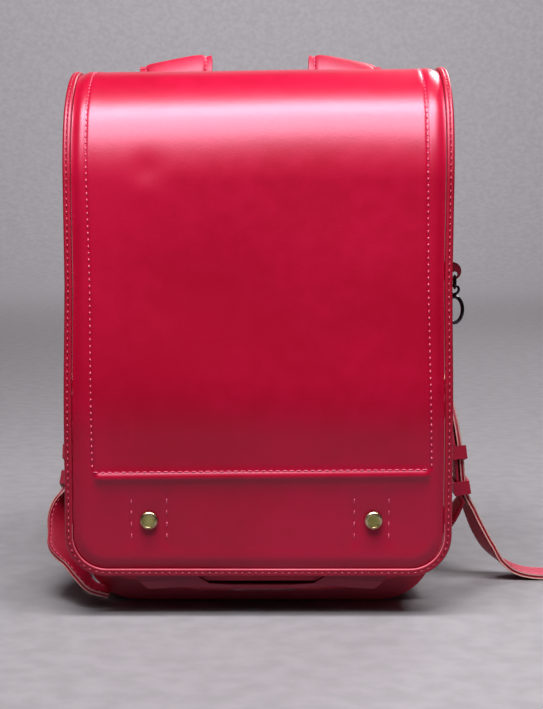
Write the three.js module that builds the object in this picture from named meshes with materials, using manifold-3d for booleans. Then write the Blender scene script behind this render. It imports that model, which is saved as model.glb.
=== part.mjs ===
// A leather school ransel that stands on its base. Millimetres, +Z up.
// The front looks along -Y, +X is to the right of someone who faces the front,
// and the origin is the centre of the underside of the main compartment.
import * as THREE from 'three';
import { mergeVertices } from 'three/addons/utils/BufferGeometryUtils.js';
import Module from 'manifold-3d';

const wasm = await Module();
wasm.setup();

// Driving sizes of the body
const topHeight = 354;
const flapWidth = 250;
const flapThickness = 3.6;
const hemHeight = 27;
const hemRadius = 27;
const bindingWidth = 5.2;
const bindingThickness = 4.4;
const mainWidth = 230;
const mainDepth = 120;
const mainFrontHeight = 272;
const smallInset = 4;
const smallWidth = mainWidth - 2 * smallInset;
const smallDepth = 31;
const smallLift = 22.5;
const smallHeight = 246;
const cornerRadius = 34;
const rimOverhang = 3;
const gussetWall = 2.4;
const panelWall = 2.2;
const panelLift = 1;
const panelTopRadius = 8;
const backTopRadius = 20;
const smallBackRise = 8;
const backWall = 4;
const seatGap = 0.3;

// Driving sizes of the back and the straps
const padWidth = 76;
const padHeight = 205;
const padThickness = 11;
const padSpacing = 106;
const padBottom = 42;
const padBevelShare = 0.45;
const padRoundShare = 0.16;
const plateWidth = 150;
const plateHeight = 34;
const plateThickness = 4;
const plateTop = 312;
const plateRadius = 8;
const strapReach = 10;
const strapThickness = 9;
const strapWidth = 48;
const beltWidth = 22;
const beltThickness = 3.6;
const lowerBeltThickness = 2.8;
const layerGap = 0.6;
const keeperHeight = 9.5;
const keeperWall = 1.5;
const buckleWire = 3;
const buckleHeight = 5;
const keeperClear = 1.1;
const keeperRoom = 0.8;
const buckleRoom = 0.4;
const ringWire = 2.4;
const baseRingHeight = 18;
const baseTabWidth = 26;
const baseTabHeight = 7;
const baseTabThickness = 2.4;
const rootSlack = 0.3;

// Driving sizes of the lock tongue and its studs
const tongueThickness = 2.4;
const tongueTop = 78;
const tongueUnderside = 15.5;
const tongueBend = 7;
const tongueReach = 29;
const tongueShift = 1.8;
const rivetSpacing = 144.8;
const rivetHeight = 64.2;
const rivetRadius = 5.8;
const rivetDome = 2.6;
const haspWidth = 44;
const haspDepth = 17;
const haspThickness = 1.5;
const lockWidth = 38;
const lockDepth = 14;
const lockThickness = 1.6;

// Driving sizes of the side hook
const tabHeight = 12;
const tabThickness = 2.5;
const tabReach = 22;
const tabCentre = 223;
const tabHole = 1.9;
const linkRadius = 4.2;
const linkWire = 0.8;
const eyeRadius = 2.8;
const eyeWire = 0.9;
const hookHalfWidth = 5.4;
const hookHalfHeight = 8.6;
const hookWire = 1.25;
const gateWire = 1;
const gateGap = 1.2;

// Colours and finishes
const finishes = {
  leather: { color: 0xb01236, roughness: 0.38, metalness: 0 },
  binding: { color: 0x7a0c24, roughness: 0.5, metalness: 0 },
  backing: { color: 0x8f1030, roughness: 0.6, metalness: 0 },
  brass: { color: 0x857a50, roughness: 0.35, metalness: 1 },
  gunmetal: { color: 0x26242a, roughness: 0.3, metalness: 1 },
};

const bag = new THREE.Group();

function add(name, geometry, finish, parent = bag) {
  const material = new THREE.MeshStandardMaterial(finishes[finish]);
  const mesh = new THREE.Mesh(geometry, material);
  mesh.name = name;
  parent.add(mesh);
  return mesh;
}

function mix(a, b, share) {
  return a + (b - a) * share;
}

// Turns a vertex list and triangle list into a closed geometry whose faces point out.
function closedGeometry(points, triangles) {
  let volume = 0;
  for (const [a, b, c] of triangles) {
    volume += points[a].dot(points[b].clone().cross(points[c]));
  }
  const ordered = volume < 0 ? triangles.map(([a, b, c]) => [a, c, b]) : triangles;
  const geometry = new THREE.BufferGeometry();
  const values = points.flatMap((point) => point.toArray());
  geometry.setAttribute('position', new THREE.Float32BufferAttribute(values, 3));
  geometry.setIndex(ordered.flat());
  geometry.computeVertexNormals();
  return geometry;
}

// Lofts a closed body through rings that have equally many points.
function loft(rings, capOutline) {
  const count = rings[0].length;
  const points = rings.flat();
  const triangles = [];
  for (let k = 0; k + 1 < rings.length; k += 1) {
    for (let j = 0; j < count; j += 1) {
      const next = (j + 1) % count;
      const a = k * count + j;
      const b = k * count + next;
      triangles.push([a, b, b + count], [a, b + count, a + count]);
    }
  }
  const last = (rings.length - 1) * count;
  const cap = THREE.ShapeUtils.triangulateShape(capOutline, []);
  const turned = THREE.ShapeUtils.isClockWise(capOutline);
  for (const [a, b, c] of cap) {
    if (turned) {
      triangles.push([a, b, c], [last + a, last + c, last + b]);
    } else {
      triangles.push([a, c, b], [last + a, last + b, last + c]);
    }
  }
  return closedGeometry(points, triangles);
}

// A path of straight runs and round corners in one plane, listed by its distance.
// Each corner is { u, v, radius }.
function roundedPath(corners, lineStep, arcStep) {
  const nodes = [];
  const point = (corner) => new THREE.Vector2(corner.u, corner.v);
  let previous = point(corners[0]);
  const line = (from, to) => {
    const steps = Math.max(1, Math.ceil(from.distanceTo(to) / lineStep));
    for (let k = 1; k <= steps; k += 1) {
      nodes.push(from.clone().lerp(to, k / steps));
    }
  };
  nodes.push(previous.clone());
  for (let k = 1; k + 1 < corners.length; k += 1) {
    const corner = point(corners[k]);
    const into = corner.clone().sub(point(corners[k - 1])).normalize();
    const out = point(corners[k + 1]).sub(corner).normalize();
    const turn = Math.atan2(into.cross(out), into.dot(out));
    const tangent = corners[k].radius * Math.tan(Math.abs(turn) / 2);
    const start = corner.clone().addScaledVector(into, -tangent);
    const side = new THREE.Vector2(-into.y, into.x).multiplyScalar(Math.sign(turn));
    const centre = start.clone().addScaledVector(side, corners[k].radius);
    line(previous, start);
    const steps = Math.max(2, Math.ceil(Math.abs(turn) / arcStep));
    for (let j = 1; j <= steps; j += 1) {
      nodes.push(start.clone().rotateAround(centre, (turn * j) / steps));
    }
    previous = nodes[nodes.length - 1].clone();
  }
  line(previous, point(corners[corners.length - 1]));
  let distance = 0;
  return nodes.map((node, k) => {
    if (k > 0) {
      distance += node.distanceTo(nodes[k - 1]);
    }
    const before = nodes[Math.max(0, k - 1)];
    const after = nodes[Math.min(nodes.length - 1, k + 1)];
    const along = after.clone().sub(before).normalize();
    return { point: node, along, distance };
  });
}

// A surface that follows such a path. Its place() takes a distance along the path,
// a place across it and a height above it.
function pathSurface(path, place) {
  const length = path[path.length - 1].distance;
  const at = (distance, across, height) => {
    let k = 1;
    while (k + 1 < path.length && path[k].distance < distance) {
      k += 1;
    }
    const a = path[k - 1];
    const b = path[k];
    const share = (distance - a.distance) / (b.distance - a.distance);
    const point = a.point.clone().lerp(b.point, share);
    const along = a.along.clone().lerp(b.along, share).normalize();
    return place(point, new THREE.Vector2(along.y, -along.x), across, height);
  };
  return { at, length, stops: path.map((row) => row.distance) };
}

const inSideView = (point, out, across, height) =>
  new THREE.Vector3(across, point.x + out.x * height, point.y + out.y * height);
const inFrontView = (point, out, across, height) =>
  new THREE.Vector3(point.x + out.x * height, across, point.y + out.y * height);

// A closed sheet on a surface. Each row runs from place a to place b, both
// { distance, across }; relief lifts the outer face.
function sheetOn(surface, rows, steps, thickness, relief = () => 0) {
  const rings = rows.map(({ a, b }) => {
    const outer = [];
    const inner = [];
    for (let j = 0; j <= steps; j += 1) {
      const distance = mix(a.distance, b.distance, j / steps);
      const across = mix(a.across, b.across, j / steps);
      const lift = relief(distance, across);
      outer.push(surface.at(distance, across, lift));
      inner.push(surface.at(distance, across, lift - thickness));
    }
    return outer.concat(inner.reverse());
  });
  const cap = [];
  for (let j = 0; j <= steps; j += 1) {
    cap.push(new THREE.Vector2(j, 1));
  }
  for (let j = steps; j >= 0; j -= 1) {
    cap.push(new THREE.Vector2(j, 0));
  }
  return loft(rings, cap);
}

// Outer face of the flap in the side view, from the back seam over the top to the hem
const backFace = mainDepth / 2 + seatGap + backWall;
const tongueFace = -(mainDepth / 2 + panelWall + smallDepth + panelWall + tongueThickness + 4 * seatGap);
const bindingProud = (bindingThickness - flapThickness) / 2;
const flapFront = tongueFace - seatGap - bindingProud - flapThickness;
const flapBack = backFace + seatGap + flapThickness;
const flapLean = 36;
const flapSeam = 318;
const waistHeight = 138;
const topBackRadius = 24;
const topFrontRadius = 60;
const waistRadius = 240;
const topFall = 5;
const flapCorners = [
  { u: flapBack, v: flapSeam },
  { u: flapBack, v: topHeight - topFall, radius: topBackRadius },
  { u: flapFront + flapLean, v: topHeight, radius: topFrontRadius },
  { u: flapFront, v: waistHeight, radius: waistRadius },
  { u: flapFront, v: hemHeight },
];
const flapStep = 14;
const flapArc = 0.16;
const flapPath = roundedPath(flapCorners, flapStep, flapArc);
const flapSurface = pathSurface(flapPath, inSideView);
const flapLength = flapSurface.length;

// Hollows of the worn leather: place as shares of the flap's half width and of its
// height, size as a share of the flap's width, depth in millimetres
const dents = [
  { across: -0.565, height: 0.815, size: 0.04, depth: 2.4 },
  { across: -0.3, height: 0.6, size: 0.2, depth: 2 },
];
function flapRelief(distance, across) {
  let lift = 0;
  for (const dent of dents) {
    const height = topHeight * dent.height;
    const place = flapSurface.at(distance, across, 0);
    const away = Math.hypot(across - (dent.across * flapWidth) / 2, place.z - height);
    const share = away / (dent.size * flapWidth);
    const front = place.y < 0 ? 1 : 0;
    lift -= front * dent.depth * Math.exp(-share * share);
  }
  return lift;
}

// Half width of a sheet that narrows round the corners at its far end
function roundedHalf(half, radius, left) {
  if (left >= radius) {
    return half;
  }
  return half - radius + Math.sqrt(radius * radius - (radius - left) ** 2);
}

const cornerShares = [0, 0.04, 0.15, 0.32, 0.56, 1];
function rowsToHem(surface, start, end, half, radius) {
  const stops = surface.stops.filter((stop) => stop > start && stop < end - radius * 1.05);
  const corner = cornerShares.map((share) => end - share * radius).reverse();
  return [start, ...stops, ...corner].map((distance) => {
    const width = roundedHalf(half, radius, end - distance);
    return { a: { distance, across: -width }, b: { distance, across: width } };
  });
}

const flapInset = bindingWidth + seatGap;
const flapColumns = 16;
add(
  'flap',
  sheetOn(
    flapSurface,
    rowsToHem(flapSurface, 0, flapLength - flapInset, flapWidth / 2 - flapInset, hemRadius - flapInset),
    flapColumns,
    flapThickness,
    flapRelief,
  ),
  'leather',
);

// The binding runs down the left edge, round the hem and up the right edge
function bindingRows() {
  const half = flapWidth / 2;
  const straight = flapLength - hemRadius;
  const stops = flapSurface.stops.filter((stop) => stop < straight - 1).concat(straight);
  const rows = stops.map((distance) => ({
    a: { distance, across: -half },
    b: { distance, across: -half + bindingWidth },
  }));
  const turns = 7;
  const corner = [];
  for (let k = 1; k <= turns; k += 1) {
    const angle = (Math.PI / 2) * (k / turns);
    const spot = (radius) => ({
      distance: straight + radius * Math.sin(angle),
      across: -half + hemRadius - radius * Math.cos(angle),
    });
    corner.push({ a: spot(hemRadius), b: spot(hemRadius - bindingWidth) });
  }
  rows.push(...corner);
  const mirrored = rows.map(({ a, b }) => ({
    a: { distance: a.distance, across: -a.across },
    b: { distance: b.distance, across: -b.across },
  }));
  return rows.concat(mirrored.reverse());
}
add(
  'flap_binding',
  sheetOn(flapSurface, bindingRows(), 2, bindingThickness, () => bindingProud),
  'binding',
);

// U-shaped wall of a compartment. Its front edge may lean and its top edge may fall.
const panelStep = 60;
const panelArc = 0.27;
function gusset({ width, bottom, back, depth, topDepth, frontTop, backTop }) {
  const half = width / 2;
  const corners = [
    { u: -half, v: frontTop },
    { u: -half, v: bottom, radius: cornerRadius },
    { u: half, v: bottom, radius: cornerRadius },
    { u: half, v: frontTop },
  ];
  const path = roundedPath(corners, panelStep, panelArc);
  const base = pathSurface(path, inFrontView);
  const straight = bottom + cornerRadius;
  const at = (distance, across, height) => {
    const low = base.at(distance, 0, height);
    const rise = Math.max(0, low.z - straight) / (frontTop - straight);
    const front = back - mix(depth, topDepth, (low.z - bottom) / (frontTop - bottom));
    low.y = mix(front, back, across);
    low.z += rise * mix(0, backTop - frontTop, across);
    return low;
  };
  const rows = base.stops.map((distance) => ({
    a: { distance, across: 0 },
    b: { distance, across: 1 },
  }));
  return sheetOn({ at }, rows, 3, gussetWall);
}

// A flat wall with round lower corners, standing across the bag
function wall(width, bottom, top, radius, topRadius, thickness, frontY) {
  const half = width / 2;
  const shape = new THREE.Shape();
  shape.moveTo(-half, top - topRadius);
  shape.lineTo(-half, bottom + radius);
  shape.absarc(-half + radius, bottom + radius, radius, Math.PI, 1.5 * Math.PI, false);
  shape.lineTo(half - radius, bottom);
  shape.absarc(half - radius, bottom + radius, radius, 1.5 * Math.PI, 2 * Math.PI, false);
  shape.lineTo(half, top - topRadius);
  shape.absarc(half - topRadius, top - topRadius, topRadius, 0, Math.PI / 2, false);
  shape.lineTo(-half + topRadius, top);
  shape.absarc(-half + topRadius, top - topRadius, topRadius, Math.PI / 2, Math.PI, false);
  const geometry = new THREE.ExtrudeGeometry(shape, {
    depth: thickness,
    bevelEnabled: false,
    curveSegments: 6,
  });
  geometry.rotateX(Math.PI / 2);
  geometry.translate(0, frontY + thickness, 0);
  return geometry;
}

const mainBack = mainDepth / 2;
const mainFront = -mainDepth / 2;
const dividerFront = mainFront - seatGap - panelWall;
const smallBack = dividerFront - seatGap;
const smallFront = smallBack - smallDepth;
const rimWidth = 2 * rimOverhang;
const flapClear = 3;
const frontClear = 3.4;
const leanShare = (smallHeight - waistHeight) / (topHeight - waistHeight);
const flapInside = flapFront + flapThickness + flapLean * leanShare;
const smallTopDepth = smallBack - flapInside - panelWall - seatGap - frontClear;
const sideFall = 14;
const backTop = topHeight - topFall - topBackRadius - flapClear;

add('main_gusset', gusset({
  width: mainWidth,
  bottom: 0,
  back: mainBack,
  depth: mainDepth,
  topDepth: mainDepth,
  frontTop: mainFrontHeight,
  backTop: backTop - sideFall,
}), 'leather');
add(
  'back_panel',
  wall(
    mainWidth + rimWidth,
    panelLift,
    backTop,
    cornerRadius + rimOverhang,
    backTopRadius,
    backWall,
    mainBack + seatGap,
  ),
  'leather',
);
add(
  'main_front',
  wall(
    mainWidth + rimWidth,
    panelLift,
    mainFrontHeight,
    cornerRadius + rimOverhang,
    panelTopRadius,
    panelWall,
    dividerFront,
  ),
  'leather',
);
add('small_gusset', gusset({
  width: smallWidth,
  bottom: smallLift,
  back: smallBack,
  depth: smallDepth,
  topDepth: smallTopDepth,
  frontTop: smallHeight,
  backTop: smallHeight + smallBackRise,
}), 'leather');

// The front wall of the small compartment leans back with its gusset's front edge
function smallFrontRows() {
  const half = smallWidth / 2 + rimOverhang;
  const radius = cornerRadius + rimOverhang;
  const length = Math.hypot(smallHeight - smallLift, smallDepth - smallTopDepth);
  const shares = [0, 0.25, 0.5, 0.75];
  const corner = cornerShares.map((share) => length - share * radius).reverse();
  return shares.map((share) => share * (length - radius)).concat(corner).map((distance) => {
    const width = roundedHalf(half, radius, length - distance);
    return { a: { distance, across: -width }, b: { distance, across: width } };
  });
}
const smallFrontPath = roundedPath([
  { u: smallBack - smallTopDepth - seatGap, v: smallHeight },
  { u: smallFront - seatGap, v: smallLift },
], panelStep, panelArc);
const smallFrontSurface = pathSurface(smallFrontPath, inSideView);
add('small_front', sheetOn(smallFrontSurface, smallFrontRows(), 4, panelWall, () => panelWall), 'leather');

// The tongue hangs behind the flap's hem on two riveted legs and turns under the bag.
// Its two edges run from the top of one leg round the base; down is the share of the
// tongue's length, outer and inner are half widths as shares of the rivet spacing.
const tongueArc = 0.3;
const tonguePath = roundedPath([
  { u: tongueFace, v: tongueTop },
  { u: tongueFace, v: tongueUnderside, radius: tongueBend },
  { u: tongueFace + tongueReach, v: tongueUnderside },
], flapStep, tongueArc);
const tongueSurface = pathSurface(tonguePath, inSideView);
const tongueEdges = [
  { outer: 0.604, outerDown: 0, inner: 0.396, innerDown: 0 },
  { outer: 0.6, outerDown: 0.25, inner: 0.375, innerDown: 0.25 },
  { outer: 0.58, outerDown: 0.55, inner: 0.314, innerDown: 0.55 },
  { outer: 0.545, outerDown: 0.63, inner: 0.275, innerDown: 0.6 },
  { outer: 0.51, outerDown: 0.7, inner: 0.235, innerDown: 0.64 },
  { outer: 0.42, outerDown: 0.84, inner: 0.14, innerDown: 0.65 },
  { outer: 0.2, outerDown: 1, inner: 0.06, innerDown: 0.65 },
];
function tongueRows() {
  const side = (sign) => tongueEdges.map((row) => ({
    a: {
      distance: row.outerDown * tongueSurface.length,
      across: tongueShift + sign * row.outer * rivetSpacing,
    },
    b: {
      distance: row.innerDown * tongueSurface.length,
      across: tongueShift + sign * row.inner * rivetSpacing,
    },
  }));
  return side(-1).concat(side(1).reverse());
}
add('lock_tongue', sheetOn(tongueSurface, tongueRows(), 6, tongueThickness), 'leather');

// A plate lying flat under the small compartment
function plateUnder(width, depth, thickness, top, centreY) {
  const geometry = new THREE.BoxGeometry(width, depth, thickness);
  geometry.translate(tongueShift, centreY, top - thickness / 2);
  return geometry;
}
const baseEnd = tongueFace + tongueReach;
add(
  'hasp_plate',
  plateUnder(haspWidth, haspDepth, haspThickness, tongueUnderside - seatGap, baseEnd - haspDepth / 2),
  'brass',
);
add(
  'lock_plate',
  plateUnder(lockWidth, lockDepth, lockThickness, smallLift - seatGap, baseEnd - lockDepth / 2),
  'brass',
);

// A stud's profile: place out from the axis and rise, as shares of radius and dome
const studProfile = [
  { out: 0, rise: 0 },
  { out: 1, rise: 0 },
  { out: 1, rise: 0.45 },
  { out: 0.9, rise: 0.8 },
  { out: 0.74, rise: 1 },
  { out: 0.66, rise: 0.78 },
  { out: 0, rise: 0.72 },
];
for (const [side, sign] of [['left', -1], ['right', 1]]) {
  const profile = studProfile.map((row) => new THREE.Vector2(row.out * rivetRadius, row.rise * rivetDome));
  const geometry = new THREE.LatheGeometry(profile, 20);
  geometry.rotateX(Math.PI);
  const rivet = add(`rivet_${side}`, geometry, 'brass');
  rivet.position.set(tongueShift + (sign * rivetSpacing) / 2, flapFront - seatGap, rivetHeight);
}

// Quilted pads on the back
for (const [side, sign] of [['left', -1], ['right', 1]]) {
  const shape = new THREE.Shape();
  const bevel = padThickness * padBevelShare;
  const half = padWidth / 2 - bevel;
  const high = padHeight / 2 - bevel;
  const round = padWidth * padRoundShare;
  shape.moveTo(-half, -high + round);
  shape.absarc(-half + round, -high + round, round, Math.PI, 1.5 * Math.PI, false);
  shape.absarc(half - round, -high + round, round, 1.5 * Math.PI, 2 * Math.PI, false);
  shape.absarc(half - round, high - round, round, 0, Math.PI / 2, false);
  shape.absarc(-half + round, high - round, round, Math.PI / 2, Math.PI, false);
  const geometry = new THREE.ExtrudeGeometry(shape, {
    depth: padThickness - 2 * bevel,
    bevelThickness: bevel,
    bevelSize: bevel,
    bevelSegments: 3,
    curveSegments: 4,
  });
  geometry.rotateX(Math.PI / 2);
  const pad = add(`back_pad_${side}`, geometry, 'backing');
  const outward = backFace + seatGap + padThickness - bevel;
  pad.position.set((sign * padSpacing) / 2, outward, padBottom + padHeight / 2);
}

// The plate that carries both strap rings
const plateFace = backFace + seatGap + plateThickness;
const plate = wall(
  plateWidth,
  plateTop - plateHeight,
  plateTop,
  plateRadius,
  plateRadius,
  plateThickness,
  backFace + seatGap,
);
add('strap_plate', plate, 'leather');

// A strap follows a table of stations: x, y and z are shares of half the straps'
// span, the main depth and the top height; sx, sy and sz give the direction across
// the strap; width and thick are shares of the strap's own named sizes.
const strapSpan = mainWidth + 2 * strapReach;
function strapRoute(rows, mirror) {
  const place = (row) => new THREE.Vector3(
    (mirror * row.x * strapSpan) / 2,
    row.y * mainDepth,
    row.z * topHeight,
  );
  const curve = new THREE.CatmullRomCurve3(rows.map(place), false, 'centripetal');
  const at = (share) => {
    const spot = share * (rows.length - 1);
    const k = Math.min(rows.length - 2, Math.floor(spot));
    const a = rows[k];
    const b = rows[k + 1];
    const part = spot - k;
    const centre = curve.getPoint(share);
    const along = curve.getTangent(share);
    const side = new THREE.Vector3(
      mirror * mix(a.sx, b.sx, part),
      mix(a.sy, b.sy, part),
      mix(a.sz, b.sz, part),
    );
    side.addScaledVector(along, -side.dot(along)).normalize();
    const out = along.clone().cross(side).multiplyScalar(-mirror);
    return {
      centre, along, side, out,
      width: mix(a.width, b.width, part),
      thick: mix(a.thick, b.thick, part),
    };
  };
  return { at, count: rows.length };
}

// Section of a strap: place across and through, as shares of its half sizes
const strapSection = [
  [-1, -0.55], [-0.55, -1], [0.55, -1], [1, -0.55], [1, 0.55], [0.55, 1], [-0.55, 1], [-1, 0.55],
];
const strapCap = strapSection.map(([across, through]) => new THREE.Vector2(across, through));
function sections(route, from, to, steps, width, thickness, offset = 0) {
  const rings = [];
  for (let k = 0; k <= steps; k += 1) {
    const frame = route.at(mix(from, to, k / steps));
    rings.push(strapSection.map(([across, through]) => frame.centre
      .clone()
      .addScaledVector(frame.side, (across * frame.width * width) / 2)
      .addScaledVector(frame.out, offset + (through * frame.thick * thickness) / 2)));
  }
  return rings;
}

// The padded strap rises from its ring, arches over and runs down to the buckle
const beltShare = beltWidth / strapWidth;
const beltThin = beltThickness / strapThickness;
const shoulderRows = [
  { x: 0.52, y: 0.66, z: 0.862, sx: 1, sy: 0, sz: 0, width: 0.9, thick: 0.6 },
  { x: 0.51, y: 0.68, z: 0.93, sx: 1, sy: 0, sz: -0.08, width: 0.98, thick: 0.9 },
  { x: 0.505, y: 0.73, z: 1.01, sx: 1, sy: 0, sz: -0.14, width: 1, thick: 1 },
  { x: 0.505, y: 0.83, z: 1.036, sx: 1, sy: 0, sz: -0.14, width: 1, thick: 1 },
  { x: 0.53, y: 0.945, z: 0.99, sx: 1, sy: 0, sz: -0.08, width: 1, thick: 1 },
  { x: 0.6, y: 1.01, z: 0.88, sx: 1, sy: -0.1, sz: 0, width: 1, thick: 1 },
  { x: 0.7, y: 1.02, z: 0.75, sx: 0.95, sy: -0.25, sz: 0, width: 0.94, thick: 1 },
  { x: 0.83, y: 0.93, z: 0.63, sx: 0.75, sy: -0.65, sz: 0.1, width: 0.78, thick: 0.8 },
  { x: 0.95, y: 0.72, z: 0.52, sx: 0.4, sy: -0.9, sz: 0.3, width: 0.6, thick: 0.6 },
  { x: 1.03, y: 0.45, z: 0.43, sx: 0.1, sy: -1, sz: 0.5, width: beltShare, thick: beltThin },
  { x: 1.085, y: 0.22, z: 0.365, sx: 0, sy: -1, sz: 0.3, width: beltShare, thick: beltThin },
];
// From the buckle the strap's holed end runs down through two keepers and hangs free
const freeEndRight = [
  { x: 1.118, y: 0.09, z: 0.31, sx: 0, sy: -1, sz: 0.1, width: beltShare, thick: beltThin },
  { x: 1.14, y: 0.02, z: 0.25, sx: 0, sy: -1, sz: 0, width: beltShare, thick: beltThin },
  { x: 1.16, y: 0.01, z: 0.184, sx: 0, sy: -1, sz: 0, width: beltShare, thick: beltThin },
  { x: 1.2, y: 0.01, z: 0.142, sx: 0.2, sy: -1, sz: 0.1, width: beltShare, thick: beltThin },
  { x: 1.255, y: 0.01, z: 0.098, sx: 0.3, sy: -1, sz: 0.1, width: beltShare, thick: beltThin },
  { x: 1.31, y: 0.01, z: 0.065, sx: 0.3, sy: -1, sz: 0.1, width: beltShare, thick: beltThin },
  { x: 1.37, y: 0.01, z: 0.039, sx: 0.15, sy: -1, sz: 0, width: beltShare, thick: beltThin },
  { x: 1.45, y: 0.01, z: 0.019, sx: 0, sy: -1, sz: 0, width: beltShare, thick: beltThin },
  { x: 1.54, y: 0.01, z: 0.0095, sx: 0, sy: -1, sz: 0, width: beltShare, thick: beltThin },
  { x: 1.66, y: 0.01, z: 0.0068, sx: 0, sy: -1, sz: 0, width: beltShare, thick: beltThin },
  { x: 1.8, y: 0.01, z: 0.0065, sx: 0, sy: -1, sz: 0, width: beltShare * 0.55, thick: beltThin },
];
const freeEndLeft = [
  { x: 1.085, y: 0.06, z: 0.31, sx: 0, sy: -1, sz: 0.1, width: beltShare, thick: beltThin },
  { x: 1.074, y: -0.02, z: 0.25, sx: 0, sy: -1, sz: 0, width: beltShare, thick: beltThin },
  { x: 1.088, y: -0.07, z: 0.198, sx: 0, sy: -1, sz: 0, width: beltShare, thick: beltThin },
  { x: 1.105, y: -0.13, z: 0.165, sx: 0.12, sy: -1, sz: 0, width: beltShare, thick: beltThin },
  { x: 1.1, y: -0.23, z: 0.138, sx: 0.4, sy: -0.9, sz: 0, width: beltShare, thick: beltThin },
  { x: 1.075, y: -0.35, z: 0.117, sx: 0.55, sy: -0.75, sz: -0.1, width: beltShare, thick: beltThin },
  { x: 1.06, y: -0.45, z: 0.1, sx: 0.5, sy: -0.75, sz: -0.2, width: beltShare, thick: beltThin },
  { x: 1.02, y: -0.53, z: 0.08, sx: 0.3, sy: -0.9, sz: -0.2, width: beltShare, thick: beltThin },
  { x: 0.965, y: -0.59, z: 0.056, sx: 0.1, sy: -1, sz: -0.1, width: beltShare, thick: beltThin },
  { x: 0.9, y: -0.605, z: 0.036, sx: 0, sy: -1, sz: 0, width: beltShare, thick: beltThin },
  { x: 0.8, y: -0.605, z: 0.022, sx: 0, sy: -1, sz: 0, width: beltShare * 0.7, thick: beltThin },
];
// The short belt leaves the strap's end below the keepers and runs to the base ring
const lowerBeltRows = [
  { x: 1.03, y: 0.22, z: 0.098, sx: 0, sy: -1, sz: -0.6, width: 1, thick: 1 },
  { x: 0.99, y: 0.38, z: 0.082, sx: 0, sy: -1, sz: -0.6, width: 1, thick: 1 },
  { x: 0.965, y: 0.51, z: 0.075, sx: 0, sy: -1, sz: -0.5, width: 1, thick: 1 },
];
const lowerBeltParting = {
  left: { x: 1.03, y: -0.005, z: 0.134, sx: 0, sy: -1, sz: -0.4, width: 1, thick: 1 },
  right: { x: 1.1, y: 0.06, z: 0.122, sx: 0, sy: -1, sz: -0.4, width: 1, thick: 1 },
};

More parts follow.
